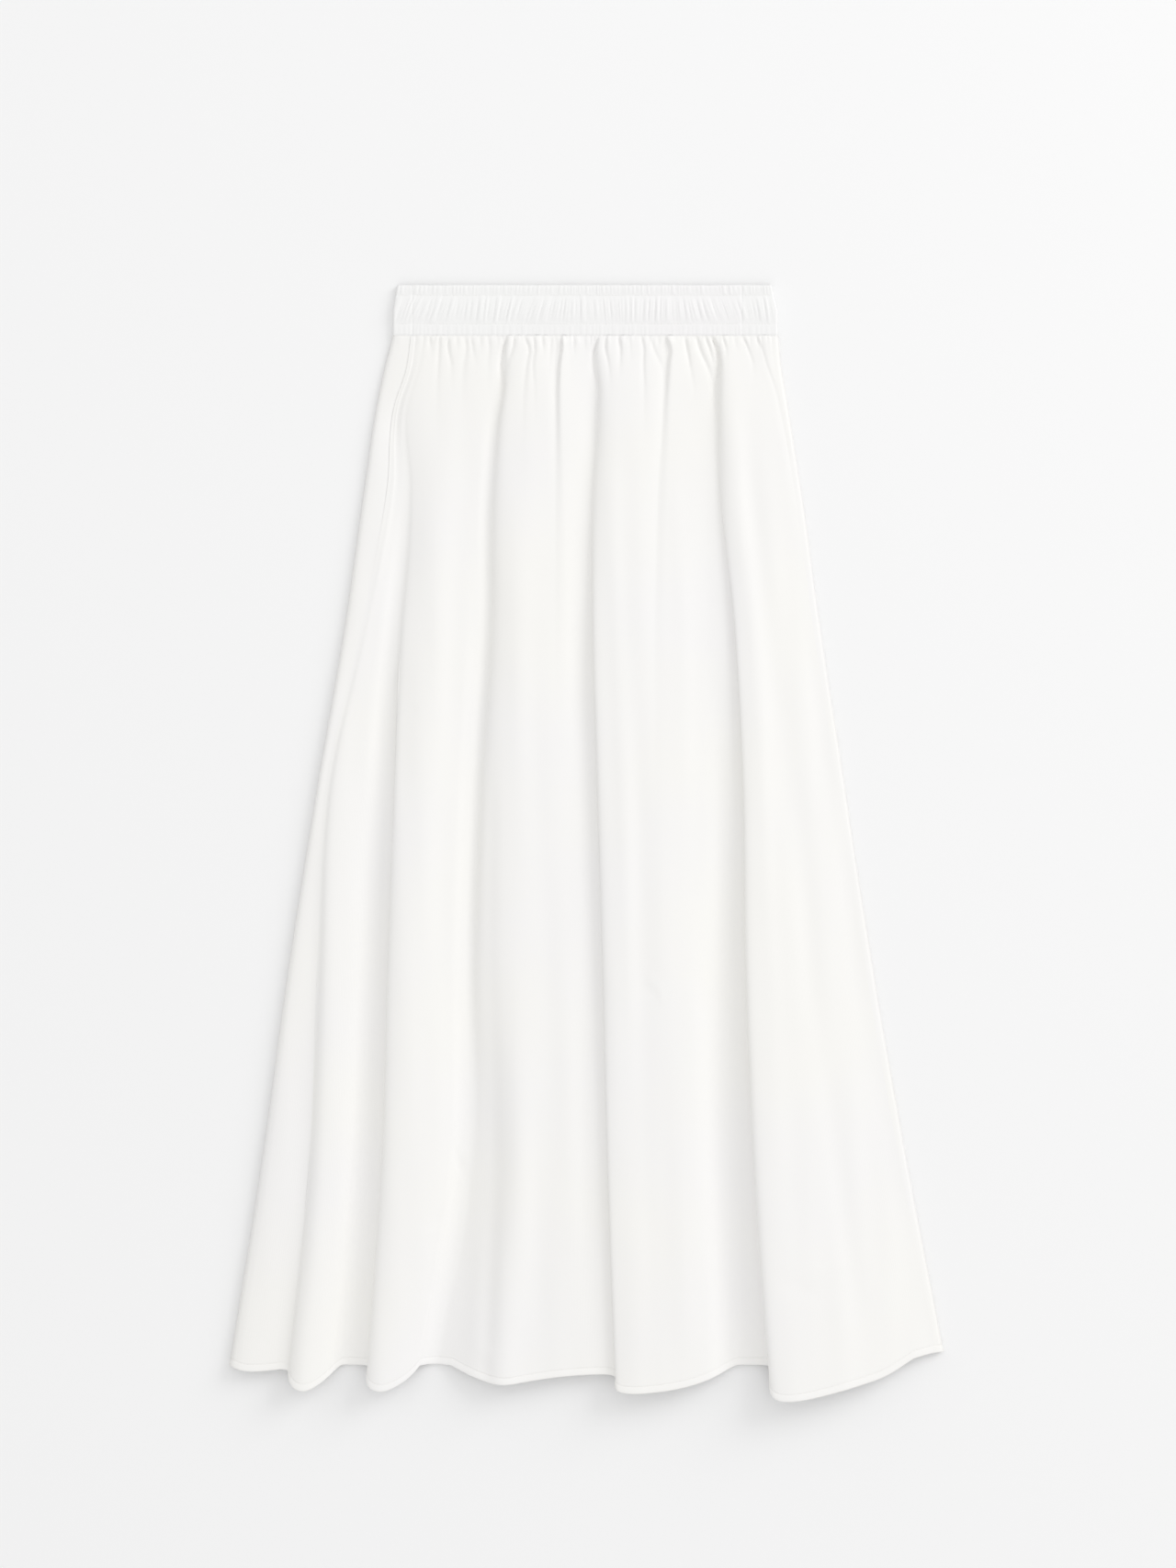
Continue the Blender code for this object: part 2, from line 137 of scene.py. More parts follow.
VALLEYS = {
    "left_seam": (4.6, 5.3, 6.0, 6.8, 8.4, 9.2),
    "pocket_fold": (4.5, 5.6, 6.2, 6.2, 6.8, 6.0),
    "soft_fold": (4.2, 4.0, 4.0, 4.0, 4.4, 4.4),
    "middle_fold": (4.2, 3.9, 3.4, 4.6, 6.8, 12.2),
    "right_fold": (4.2, 3.7, 3.1, 3.4, 4.5, 5.5),
    "right_edge": (4.6, 4.5, 4.4, 4.4, 4.4, 5.0),
}
FORMS = {
    "left_seam": dict(tuck=2, roll=9, hem_roll=9, lip=0.62, floor=18, starts=300, full=1100,
                      shoulder=0.93, shoulder_at=0.33, tail=0.29, tail_at=0.55),
    "pocket_fold": dict(tuck=5, roll=9, hem_roll=9, lip=0.75, floor=14, starts=120, full=480,
                        shoulder=0.94, shoulder_at=0.38, tail=0.42, tail_at=0.66),
    "soft_fold": dict(tuck=-2, roll=8, hem_roll=46, lip=0.16, floor=18, starts=20, full=330,
                      shoulder=0.98, shoulder_at=0.42, tail=0.70, tail_at=0.66),
    "middle_fold": dict(tuck=4.5, roll=9, hem_roll=9, lip=0.85, floor=18, starts=20, full=330,
                        shoulder=0.98, shoulder_at=0.34, tail=0.43, tail_at=0.60),
    "right_fold": dict(tuck=6, roll=11, hem_roll=20, lip=1.0, floor=8, starts=20, full=330,
                       shoulder=0.88, shoulder_at=0.36, tail=0.40, tail_at=0.70),
}
WAIST_STEP, WAIST_ROLL = 1.8, 4.0  # at the waist: half a valley's width, and where its fold tops
STEP_SHARE, ROLL_SHARE = 0.08, 0.25  # and the most of the fold's width that each takes
FLOOR_SHARE = 0.25  # the most of a fold's width that the valley's floor beyond it takes
SIDE_SEAM_INSET = 7.0  # the right side seam lies this far inside the edge
SEAM_FLAT, SEAM_RISE = 8.0, 0.8  # the cloth is a little raised this far before it
EDGE_TURN, EDGE_FLAT = 0.6, 5  # an edge turns under by this share of its height, then lies flat
EDGE_HIGH, EDGE_LOW, EDGE_OUT = 0.85, 0.12, 0.25  # heights, as shares, and reach of its two points
LEFT_TOP, LEFT_TAIL, LEFT_TAIL_HIGH = 0.3, 0.74, 0.7  # shares of the leftmost stretch
RIGHT_LIP, RIGHT_UNDERCUT = 0.9, -0.5  # the right edge is pressed to a sharper fold
SPLINE_LOSS = 1.05  # a B-spline passes below its highest control point by about this much
print("folds:", list(FORMS))


# %% [markdown]
# ## From folds to a closed loop
# Cut across anywhere, the skirt is a closed loop: over the front from the left seam to the
# right one, round the right edge, back along the flat underside and round the left edge. Six
# control points make a fold, and near the waistband they part into a plain soft valley.

# %% Control points of the loop, at every depth at once
def fold_controls(name, following, depth):
    """Foot, lip, crest, shoulder, tail and floor of a fold as (x, height). The height is mixed
    from the valley to the crest, and rolled, from 0 to 1 down the skirt, moves the first three
    from a plain valley to an edge that laps over."""
    form = FORMS[name]
    x = smooth_table(DEPTHS, LINES[name], depth)
    far_x = smooth_table(DEPTHS, LINES[following], depth)
    crest = smooth_table(HEIGHT_DEPTHS, CRESTS[name], depth)
    valley = smooth_table(HEIGHT_DEPTHS, VALLEYS[name], depth)
    far_valley = smooth_table(HEIGHT_DEPTHS, VALLEYS[following], depth)
    rolled = ease(depth, form["starts"], form["full"])
    width = far_x - x
    waist_step = np.minimum(WAIST_STEP, STEP_SHARE * width)
    waist_roll = np.minimum(WAIST_ROLL, ROLL_SHARE * width)
    floor = mix(2 * waist_step, form["floor"], ease(depth, 0, BODY_DEPTH))
    floor = np.minimum(floor, FLOOR_SHARE * width)
    edge_back = (form["tuck"] + form["roll"]) / 4
    roll = mix(form["roll"], form["hem_roll"], ease(depth, BODY_DEPTH, SKIRT_LENGTH))
    return [
        (x + mix(-waist_step, form["tuck"], rolled), valley),
        (x + mix(waist_step, -edge_back, rolled), mix(valley, crest, form["lip"] * rolled)),
        (x + mix(waist_roll, roll, rolled), crest * SPLINE_LOSS),
        (x + form["shoulder_at"] * width, crest * form["shoulder"]),
        (x + form["tail_at"] * width, mix(valley, crest, form["tail"])),
        (far_x - floor, far_valley),
    ]


def side_controls(depth):
    """The right edge, the flat underside and the left edge, in that order. An edge is two points
    almost above each other, at EDGE_HIGH and EDGE_LOW of the cloth's height there."""
    right = smooth_table(DEPTHS, LINES["right_edge"], depth)
    top = smooth_table(HEIGHT_DEPTHS, VALLEYS["right_edge"], depth)
    left = smooth_table(DEPTHS, LINES["left_edge"], depth)
    width = smooth_table(DEPTHS, LINES["left_seam"], depth) - left
    crest = smooth_table(HEIGHT_DEPTHS, CRESTS["left_edge"], depth)
    valley = smooth_table(HEIGHT_DEPTHS, VALLEYS["left_seam"], depth)
    flat = 0 * depth
    return [
        (right - SIDE_SEAM_INSET, top),
        (right + RIGHT_LIP, EDGE_HIGH * top),
        (right + RIGHT_UNDERCUT, EDGE_LOW * top),
        (right - EDGE_TURN * top, flat),
        (right - EDGE_FLAT * EDGE_TURN * top, flat),
        (left + EDGE_FLAT * EDGE_TURN * crest, flat),
        (left + EDGE_TURN * crest, flat),
        (left - EDGE_OUT, EDGE_LOW * crest),
        (left - EDGE_OUT, EDGE_HIGH * crest),
        (left + LEFT_TOP * width, crest * SPLINE_LOSS),
        (left + LEFT_TAIL * width, mix(valley, crest, LEFT_TAIL_HIGH)),
    ]


def loop_controls(depth):
    """All control points (point, depth, 2), from the left seam round the loop, and the right
    seam's place in it."""
    names = list(FORMS)
    points = []
    for name, following in zip(names, names[1:] + ["right_edge"]):
        points += fold_controls(name, following, depth)
    points[-1] = (points[-1][0] - SEAM_FLAT, points[-1][1] + SEAM_RISE)
    right_seam = len(points)
    points += side_controls(depth)
    return np.array([np.stack(p, axis=-1) for p in points]), right_seam


RIGHT_SEAM = loop_controls(np.zeros(1))[1]
LOOP_END = len(loop_controls(np.zeros(1))[0])
print("loop of", LOOP_END, "control points, the right seam at", RIGHT_SEAM)

# %% [markdown]
# ## Gathers under the waistband
# The skirt's top edge is longer than the band, so its extra cloth is drawn into gathers. A
# gather is a narrow hollow between two puffs: sharp at the seam, wider and shallower further
# down, and gone after a hand's width. At many of them the cloth is folded over to the left, so
# their right side stands up in a step. Each row is one gather, and none is like the next: x is
# where it runs at the first of these depths, deep and wide are its hollow in mm, step is how high
# its right side stands, and long is the depth at which it has nearly faded.

# %% The gathers, one row each
GATHER_DEPTHS = (0, 12, 25, 45, 80, 130, 270)
GATHERS = (
    dict(x=(-140.1, -139.2), deep=1.0, step=0.3, wide=1.5, long=13),
    dict(x=(-131.0, -131.6, -132.4, -133.5), deep=0.9, step=0.5, wide=1.5, long=46),
    dict(x=(-123.6, -123.5, -121.0), deep=1.4, step=0.7, wide=1.3, long=26),
    dict(x=(-116.0, -115.4), deep=0.7, step=0.2, wide=1.2, long=9),
    dict(x=(-108.2, -107.6, -109.6, -111.0), deep=1.0, step=0.6, wide=2.2, long=40),
    dict(x=(-103.2, -101.6, -99.6), deep=1.1, step=0.4, wide=1.2, long=18),
    dict(x=(-95.0, -95.6), deep=0.7, step=0.2, wide=1.2, long=8),
    dict(x=(-87.8, -87.2, -88.5), deep=0.6, step=0.5, wide=1.8, long=30),
    dict(x=(-71.5, -74.4, -76.4, -75.0, -80.6, -84.0), deep=2.3, step=0.7, wide=1.6, long=80),
    dict(x=(-64.4, -66.4, -70.8), deep=1.4, step=0.5, wide=1.5, long=22),
    dict(x=(-56.0, -51.6, -53.6, -55.8, -57.8), deep=1.0, step=0.8, wide=1.8, long=56),
    dict(x=(-47.0, -46.4, -48.0, -47.0), deep=0.9, step=0.5, wide=1.3, long=44),
    dict(x=(-39.4, -39.0), deep=1.0, step=0.4, wide=1.3, long=12),
    dict(x=(-31.0, -32.4, -33.4), deep=0.9, step=0.4, wide=1.6, long=22),
    dict(x=(-23.1, -23.3, -25.2, -26.6, -26.6, -26.0), deep=1.2, step=2.0, wide=1.4, long=80),
    dict(x=(-27.0, -27.0, -28.2, -28.6, -28.6, -28.0, -28.4), deep=1.0, step=1.2, wide=4.0,
         long=230),
    dict(x=(-11.3, -12.0), deep=1.0, step=0.4, wide=1.3, long=12),
    dict(x=(-17.0, -16.0, -15.2), deep=0.5, step=0.0, wide=3.2, long=36),
    dict(x=(-3.0, -2.6), deep=0.7, step=0.2, wide=1.2, long=9),
    dict(x=(10.8, 6.8, 6.2, 9.6, 6.4), deep=2.4, step=0.6, wide=1.5, long=66),
    dict(x=(17.2, 16.6, 19.0, 20.5), deep=1.5, step=0.5, wide=1.3, long=30),
    dict(x=(28.5, 29.8, 29.2), deep=1.9, step=0.7, wide=1.3, long=22),
    dict(x=(38.1, 38.4), deep=0.8, step=0.3, wide=1.4, long=16),
    dict(x=(48.8, 50.6, 50.3, 51.0), deep=1.1, step=0.7, wide=1.6, long=54),
    dict(x=(56.0, 59.6, 65.4, 70.2), deep=1.0, step=0.3, wide=2.0, long=32),
    dict(x=(63.0, 64.4), deep=0.8, step=0.2, wide=1.2, long=8),
    dict(x=(69.7, 73.6, 72.0, 70.4, 68.0, 66.0), deep=0.9, step=1.8, wide=1.5, long=60),
    dict(x=(68.0, 70.6, 69.8, 68.4, 67.0, 64.2, 60.3), deep=1.0, step=1.4, wide=4.5,
         long=320),
    dict(x=(80.0, 80.6), deep=0.6, step=0.2, wide=1.2, long=7),
    dict(x=(87.3, 89.4, 91.5, 95.0), deep=1.5, step=0.6, wide=1.3, long=32),
    dict(x=(86.0, 88.0, 88.0), deep=0.5, step=0.0, wide=3.2, long=30),
    dict(x=(97.8, 100.8, 106.4, 114.0), deep=1.8, step=0.4, wide=1.7, long=38),
    dict(x=(105.7, 109.4, 113.0), deep=1.6, step=0.5, wide=1.3, long=22),
    dict(x=(110.9, 116.0, 117.4, 114.4, 116.6), deep=2.5, step=0.6, wide=1.6, long=76),
    dict(x=(120.7, 124.0), deep=1.4, step=0.4, wide=1.3, long=15),
    dict(x=(131.0, 132.6), deep=0.6, step=0.2, wide=1.2, long=9),
    dict(x=(139.0, 143.6, 148.0), deep=1.1, step=0.4, wide=1.4, long=24),
    dict(x=(152.0, 154.0), deep=0.6, step=0.2, wide=1.3, long=10),
    dict(x=(150.0, 156.0, 160.0, 167.0, 175.0, 186.0, 204.0), deep=0.4, step=0.3, wide=1.8,
         long=150),
)
GATHER_ROUND, GATHER_SPREAD = 1.3, 0.8  # the hollow's exponent, and how it widens downwards
STEP_SHARP, STEP_LENGTH = 1.4, 13.0  # a step rises over 1.4 widths, and runs down over 13 mm
PUFF_SPACING, PUFF_HEIGHT, PUFF_LENGTH = 5.6, 0.6, 7.0  # small puffs right below the seam
PUFF_LEAN, PUFF_TURN, PUFF_SEED = 0.12, 31, 7  # they lean to and fro along it
SEAM_GROOVE = dict(deep=0.5, wide=0.8)
SEAM_HELD, SEAM_HELD_TO = 0.3, 6  # share of a gather's depth at the seam, and where it is whole
SEAM_HEIGHT, SEAM_REACH = 4.7, 1.4  # the band holds the seam up at this height
WAVES_END = 200  # the line that is split runs from minus this to this, past the waist's ends
print("gathers:", len(GATHERS))


def uneven_waves(at, spacing, seed):
    """Splits a line into stretches of uneven width, drawn from a seeded table. Gives the place
    in its stretch, from 0 to 1, and the stretch's own number between 0.35 and 1."""
    draw = np.random.default_rng(seed)
    count = int(WAVES_END * 2 / spacing) + 2
    edges = -WAVES_END + spacing * np.cumsum(draw.uniform(0.5, 1.5, count))
    tall = draw.uniform(0.35, 1.0, count + 1)
    which = np.searchsorted(edges, at)
    starts, ends = np.append(edges[0] - spacing, edges), np.append(edges, edges[-1] + spacing)
    return np.clip((at - starts[which]) / (ends[which] - starts[which]), 0, 1), tall[which]


def gather_height(x, depth):
    """Sum over the gathers of -deep * exp(-|distance / width|^GATHER_ROUND), where the width grows
    by GATHER_SPREAD over the gather's length, and of step * exp(-distance / STEP_LENGTH) at their
    right, both times exp(-(depth / long)^2). Small puffs, sin(pi t)^0.8 across and PUFF_LENGTH
    times 0.85 to 1.5 long, lie between them at the seam, and the seam itself is a groove."""
    rise = np.zeros(np.broadcast(x, depth).shape)
    for gather in GATHERS:
        at = GATHER_DEPTHS[: len(gather["x"])]
        centre = smooth_table(at, gather["x"], np.clip(depth, 0, at[-1]))
        width = gather["wide"] * (1 + GATHER_SPREAD * np.minimum(depth / gather["long"], 2))
        shape = -gather["deep"] * np.exp(-np.abs((x - centre) / width) ** GATHER_ROUND)
        right = np.maximum(x - centre, 0)
        step = ease(right, 0, STEP_SHARP * width) * np.exp(-right / STEP_LENGTH)
        rise += (shape + gather["step"] * step) * np.exp(-((depth / gather["long"]) ** 2))
    along = x + PUFF_LEAN * depth * np.sin(x / PUFF_TURN)
    t, tall = uneven_waves(along, PUFF_SPACING, PUFF_SEED)
    bulge = np.sin(np.pi * t) ** 0.8 * np.exp(-((depth / (PUFF_LENGTH * (0.5 + tall))) ** 2))
    groove = np.exp(-((depth / SEAM_GROOVE["wide"]) ** 2))
    rise *= mix(SEAM_HELD, 1, ease(depth, 0, SEAM_HELD_TO))
    return rise + PUFF_HEIGHT * tall * bulge - SEAM_GROOVE["deep"] * groove


# %% [markdown]
# ## Creases
# Between the big folds the cloth isn't smooth: soft troughs and ridges run down it, and a few
# short creases cross it. Each row of CREASES places one by its fold, as shares of that fold's
# width at its top and bottom end, so that it keeps its place on the cloth. CRINKLES are the short
# ones, each with its middle and its angle in degrees, and WAVES are long faint swells with their
# lengths across and down in mm. A negative height is a trough.

# %% Creases, crinkles and waves on the front
CREASES = (
    dict(fold="left_seam", at=(0.55, 0.60), depth=(380, 900), width=9, height=0.8),
    dict(fold="left_seam", at=(0.62, 0.78), depth=(380, 1080), width=12, height=-3.0),
    dict(fold="left_seam", at=(0.66, 0.68), depth=(640, 1300), width=12, height=-2.6),
    dict(fold="left_seam", at=(0.10, 0.06), depth=(22, 90), width=4.5, height=-0.9),
    dict(fold="left_seam", at=(0.70, 1.05), depth=(40, 235), width=13, height=-1.9),
    dict(fold="left_seam", at=(0.74, 0.84), depth=(190, 560), width=9, height=-2.6),
    dict(fold="pocket_fold", at=(0.08, 0.10), depth=(160, 420), width=10, height=-1.1),
    dict(fold="pocket_fold", at=(0.42, 0.40), depth=(90, 520), width=12, height=0.8),
    dict(fold="pocket_fold", at=(0.62, 0.60), depth=(150, 560), width=10, height=-0.7),
    dict(fold="pocket_fold", at=(0.74, 0.73), depth=(330, 940), width=5, height=0.5),
    dict(fold="soft_fold", at=(-0.04, -0.05), depth=(100, 600), width=5, height=-2.0),
    dict(fold="soft_fold", at=(0.086, 0.12), depth=(400, 680), width=7, height=-0.9),
    dict(fold="soft_fold", at=(0.105, 0.287), depth=(680, 960), width=8, height=-1.6),
    dict(fold="soft_fold", at=(0.01, 0.05), depth=(660, 1250), width=20, height=-3.6),
    dict(fold="soft_fold", at=(0.29, 0.35), depth=(640, 1250), width=17, height=1.8),
    dict(fold="soft_fold", at=(0.30, 0.34), depth=(150, 640), width=12, height=0.9),
    dict(fold="soft_fold", at=(0.52, 0.50), depth=(420, 880), width=16, height=-0.8),
    dict(fold="soft_fold", at=(0.70, 0.72), depth=(250, 900), width=14, height=0.9),
    dict(fold="soft_fold", at=(0.88, 0.92), depth=(280, 640), width=10, height=-1.2),
    dict(fold="middle_fold", at=(0.88, 0.75), depth=(380, 1080), width=15, height=-2.8),
    dict(fold="middle_fold", at=(0.79, 0.76), depth=(640, 1300), width=14, height=-2.8),
    dict(fold="middle_fold", at=(0.16, 0.18), depth=(120, 620), width=8, height=0.7),
    dict(fold="middle_fold", at=(0.28, 0.27), depth=(330, 830), width=9, height=-0.8),
    dict(fold="middle_fold", at=(0.52, 0.50), depth=(520, 900), width=14, height=0.7),
    dict(fold="middle_fold", at=(0.66, 0.62), depth=(90, 420), width=9, height=0.9),
    dict(fold="right_fold", at=(0.22, 0.20), depth=(60, 560), width=8, height=0.8),
    dict(fold="right_fold", at=(0.50, 0.57), depth=(330, 880), width=11, height=-1.3),
    dict(fold="right_fold", at=(0.40, 0.40), depth=(120, 460), width=9, height=-0.8),
)
CRINKLES = (
    dict(x=-112.0, y=-287.0, angle=-62, length=26, width=2.6, height=-0.9),
    dict(x=-137.0, y=-338.0, angle=38, length=20, width=2.0, height=-0.7),
    dict(x=55.0, y=-132.0, angle=12, length=18, width=2.4, height=-0.7),
    dict(x=62.0, y=-128.0, angle=-50, length=22, width=3.0, height=0.5),
    dict(x=-104.0, y=-300.0, angle=-15, length=18, width=2.4, height=0.6),
    dict(x=-88.0, y=-455.0, angle=-38, length=24, width=3.4, height=0.7),
    dict(x=-160.0, y=115.0, angle=25, length=22, width=3.0, height=-0.5),
    dict(x=190.0, y=-395.0, angle=-20, length=40, width=5.0, height=-0.5),
    dict(x=215.0, y=-378.0, angle=24, length=34, width=5.0, height=0.5),
)
WAVES = (
    dict(across=61, down=733, turn=0.4, height=0.20),
    dict(across=37, down=-571, turn=1.9, height=0.14),
    dict(across=23, down=397, turn=3.3, height=0.07),
    dict(across=83, down=-159, turn=5.1, height=0.12),
    dict(across=47, down=71, turn=2.2, height=0.03),
)
print("creases:", len(CREASES), "crinkles:", len(CRINKLES), "waves:", len(WAVES))


def crease_height(x, depth):
    """For each crease, height * exp(-(distance / width)^2), times a window that rises and falls
    over the fifth of its length at each end."""
    rise = np.zeros(x.shape)
    names = list(FORMS) + ["right_edge"]
    for crease in CREASES:
        name = crease["fold"]
        start = smooth_table(DEPTHS, LINES[name], depth)
        end = smooth_table(DEPTHS, LINES[names[names.index(name) + 1]], depth)
        top, bottom = crease["depth"]
        share = mix(*crease["at"], np.clip((depth - top) / (bottom - top), 0, 1))
        distance = x - mix(start, end, share)
        fifth = 0.2 * (bottom - top)
        window = ease(depth, top - fifth, top + fifth)
        window = window * (1 - ease(depth, bottom - fifth, bottom + fifth))
        rise += crease["height"] * window * np.exp(-((distance / crease["width"]) ** 2))
    return rise


def crinkle_height(x, y):
    """Short creases: height * exp(-(along / half length)^4) * exp(-(across / width)^2), and a
    few long waves, height * sin(2 pi (x / across + y / down) + turn)."""
    rise = np.zeros(x.shape)
    for crinkle in CRINKLES:
        angle = np.radians(crinkle["angle"])
        dx, dy = x - crinkle["x"], y - crinkle["y"]
        along = (dx * np.cos(angle) + dy * np.sin(angle)) / (crinkle["length"] / 2)
        across = (dy * np.cos(angle) - dx * np.sin(angle)) / crinkle["width"]
        rise += crinkle["height"] * np.exp(-(along**4)) * np.exp(-(across**2))
    for wave in WAVES:
        phase = 2 * np.pi * (x / wave["across"] + y / wave["down"]) + wave["turn"]
        rise += wave["height"] * np.sin(phase)
    return rise


# %% [markdown]
# ## The skirt's surface
# One function gives every point of the skirt from two numbers: the place round the loop and the
# depth. The hem is the same cloth turned inside, so its rows run past the edge and back up.

# %% A function of place and depth, for the whole skirt at once
MARGIN = 0.02  # one more place beyond each end, so that the normals there are whole
CORNER_FROM = 0.8  # the corner's lift starts at this share of the way to the right edge
HEM_FROM = 0.5  # and the hem's lead at this share of the way down
UPWARD = (0.1, 0.6)  # detail grows as the normal turns up between these
RAISED = (1.5, 3.5)  # and as the cloth leaves the table between these heights
SETTLED = (15, 90)  # creases start between these depths, below the gathers


def section_normals(x, z):
    """Unit normals in each section, at right angles to the mean direction of both neighbours."""
    dx, dz = np.gradient(x, axis=0), np.gradient(z, axis=0)
    length = np.hypot(dx, dz)
    return -dz / length, dx / length


def skirt_surface(places, depth, inward, detail=True):
    """Points (place, depth, 3) in mm. The spline gives x and the height, and y falls by the depth
    and the hem's lead, which grows with the hem's height at that place. Gathers, creases and
    crinkles move a point along its normal where it faces up, and inward moves it in."""
    padded = np.concatenate([[places[0] - MARGIN], places, [places[-1] + MARGIN]])
    controls = loop_controls(depth)[0]
    points = spline(controls, padded)
    x, z = points[..., 0], points[..., 1]
    smooth_hem = spline(loop_controls(np.array([SKIRT_LENGTH]))[0], padded)[:, 0]
    hem_x, above = smooth_hem[:, :1], smooth_hem[:, 1:] - HEM_BASE
    hem_end = LINES["right_edge"][-1]
    lift = CORNER_LIFT * ease(hem_x, CORNER_FROM * hem_end, hem_end)
    lead = above * np.where(above > 0, HEM_LEAD, HEM_BACK) - lift
    y = BAND_SEAM_Y - depth - lead * ease(depth, HEM_FROM * SKIRT_LENGTH, SKIRT_LENGTH)
    normal_x, normal_z = section_normals(x, z)
    if detail:
        upward = ease(normal_z, *UPWARD) * ease(z, *RAISED)
        settled = ease(depth, *SETTLED)
        rise = settled * (crease_height(x, depth) + crinkle_height(x, y))
        rise = upward * (rise + gather_height(x, depth))
        rise = np.maximum(rise, np.minimum(LOWEST - z, 0))
        held_up = np.maximum(SEAM_HEIGHT - z - rise, 0) * np.exp(-((depth / SEAM_REACH) ** 2))
        rise = rise + upward * held_up
        x, z = x + rise * normal_x, z + rise * normal_z
    x, z = x - inward * normal_x, np.maximum(z - inward * normal_z, 0)
    return np.stack([x, y, z], axis=-1)[1:-1]


# %% [markdown]
# ## Rows and columns
# The grid is close where the cloth is busy. Columns are shared out by the width of each stretch
# at the waist and at the hem, and rows crowd towards the waistband and at the hem's edge.

# %% Grid lines for a piece of the skirt
FINE_STEPS = 4000
LONG_ROWS_END = 9  # the long rows stop this far above the hem's edge
HEM_ROWS = (8, 7.2, 6.8, 6.4, 6, 5, 3, 1, 0.3)  # rows across the hem, as mm above its edge
HEM_IN = (0, -0.1, 0.08, 0.08, -0.15, -0.3, -0.55, -0.7, -0.55)  # a dent, then the hem's swell
TURNED_ROWS = (0.0, 0.3, 2, 4, HEM_TURN)  # rows of the turn behind it
TURNED_IN = (0.3, 0.6, 0.6, 0.6, 0.6)


def loop_places(start, end, count):
    """Places from start to end, spaced evenly by the mean of the section's length at the waist,
    stretched to the hem's width, and at the hem."""
    fine = np.linspace(start, end, FINE_STEPS)
    ends = spline(loop_controls(np.array([0.0, SKIRT_LENGTH]))[0], fine)
    steps = np.hypot(*np.moveaxis(np.diff(ends, axis=0), -1, 0))
    steps = (steps / steps.sum(0)).mean(1)
    travelled = np.concatenate([[0], np.cumsum(steps)])
    return np.interp(np.linspace(0, travelled[-1], count), travelled, fine)


def row_depths(count, near_band):
    """Depths that crowd at the band, near_band * s + (1 - near_band) * s^2 of the way down, then
    the rows across the stitched hem and those of its turn, with how far in each of them lies."""
    share = np.linspace(0, 1, count)
    long_rows = (SKIRT_LENGTH - LONG_ROWS_END) * (near_band * share + (1 - near_band) * share**2)
    hem_rows = SKIRT_LENGTH - np.array(HEM_ROWS + TURNED_ROWS)
    inward = np.concatenate([np.zeros(count), HEM_IN, TURNED_IN])
    return np.concatenate([long_rows, hem_rows]), inward


# %% [markdown]
# ## From a grid to a mesh
# A grid of points becomes faces between neighbours. Every piece also gets a UV map in metres of
# cloth, one way across it and one way down, so that a weave follows the cloth into each fold.

# %% One function makes every sheet
def sheet_from_grid(name, points, flip=False):
    """Quads between the neighbours of a (columns, rows, 3) grid in mm. UV is the distance
    travelled along each direction, in metres."""
    columns, rows = points.shape[:2]
    index = np.arange(columns * rows).reshape(columns, rows)
    corners = [index[:-1, :-1], index[:-1, 1:], index[1:, 1:], index[1:, :-1]]
    faces = np.stack(corners[::-1] if flip else corners, axis=-1).reshape(-1, 4)
    across = np.linalg.norm(np.diff(points, axis=0), axis=-1).mean(1)
    down = np.linalg.norm(np.diff(points, axis=1), axis=-1).mean(0)
    u = np.concatenate([[0], np.cumsum(across)])[:, None] + 0 * points[..., 0]
    v = np.concatenate([[0], np.cumsum(down)])[None, :] + 0 * points[..., 0]
    mesh = bpy.data.meshes.new(name)
    mesh.from_pydata((points.reshape(-1, 3) * MM).tolist(), [], faces.tolist())
    layer = mesh.uv_layers.new(name="cloth")
    uv = np.stack([u, v], axis=-1).reshape(-1, 2)[faces.ravel()] * MM
    layer.data.foreach_set("uv", uv.astype(np.float32).ravel())
    mesh.shade_smooth()
    piece = bpy.data.objects.new(name, mesh)
    bpy.context.scene.collection.objects.link(piece)
    print(name, "faces:", len(faces), "cloth in m:", np.round(uv.max(0), 3))
    return piece


# %% [markdown]
# ## Front and back of the skirt
# The front runs from the left side seam to the right one, and the back takes the rest of the
# loop. The stitching pulls the cloth down at each seam, and at the left one the front laps over.

# %% Lay the two pieces
FRONT_COLUMNS, FRONT_ROWS = 405, 228
BACK_COLUMNS, BACK_ROWS = 150, 150
NEAR_BAND = 0.28  # the smaller, the more the rows crowd towards the band
SEAM_SOFT = 1.4  # reach in mm of the dip at a side seam
SEAM_SHOWS = 90, 240  # depths between which that dip fades
FRONT_DIPS, BACK_DIPS = (-0.10, 0.12), (0.12, 0.25)  # first and last edge: the front laps over


def seam_dip(points, first, last):
    """At each side edge its dip * exp(-(distance from the edge / SEAM_SOFT)^2). A negative dip
    stands up, and lets that edge cast the thin shadow that shows where a seam runs, near the
    waistband: further down the seam lies smooth."""
    steps = np.linalg.norm(np.diff(points, axis=0), axis=-1)
    travelled = np.concatenate([np.zeros((1, points.shape[1])), np.cumsum(steps, axis=0)])
    left, right = (np.exp(-((t / SEAM_SOFT) ** 2)) for t in (travelled, travelled[-1] - travelled))
    return first * left + last * right


def skirt_piece(name, start, end, columns, rows, dips):
    """The surface between two places of the loop, moved in by its hem's rows and its dips."""
    places = loop_places(start, end, columns)
    depth, inward = row_depths(rows, NEAR_BAND)
    plain = skirt_surface(places, depth, inward, detail=False)
    dip = seam_dip(plain, *dips) * (1 - ease(depth, *SEAM_SHOWS))
    inward = np.pad(inward + dip, ((1, 1), (0, 0)), mode="edge")  # the margin's places as well
    return sheet_from_grid(name, skirt_surface(places, depth, inward))


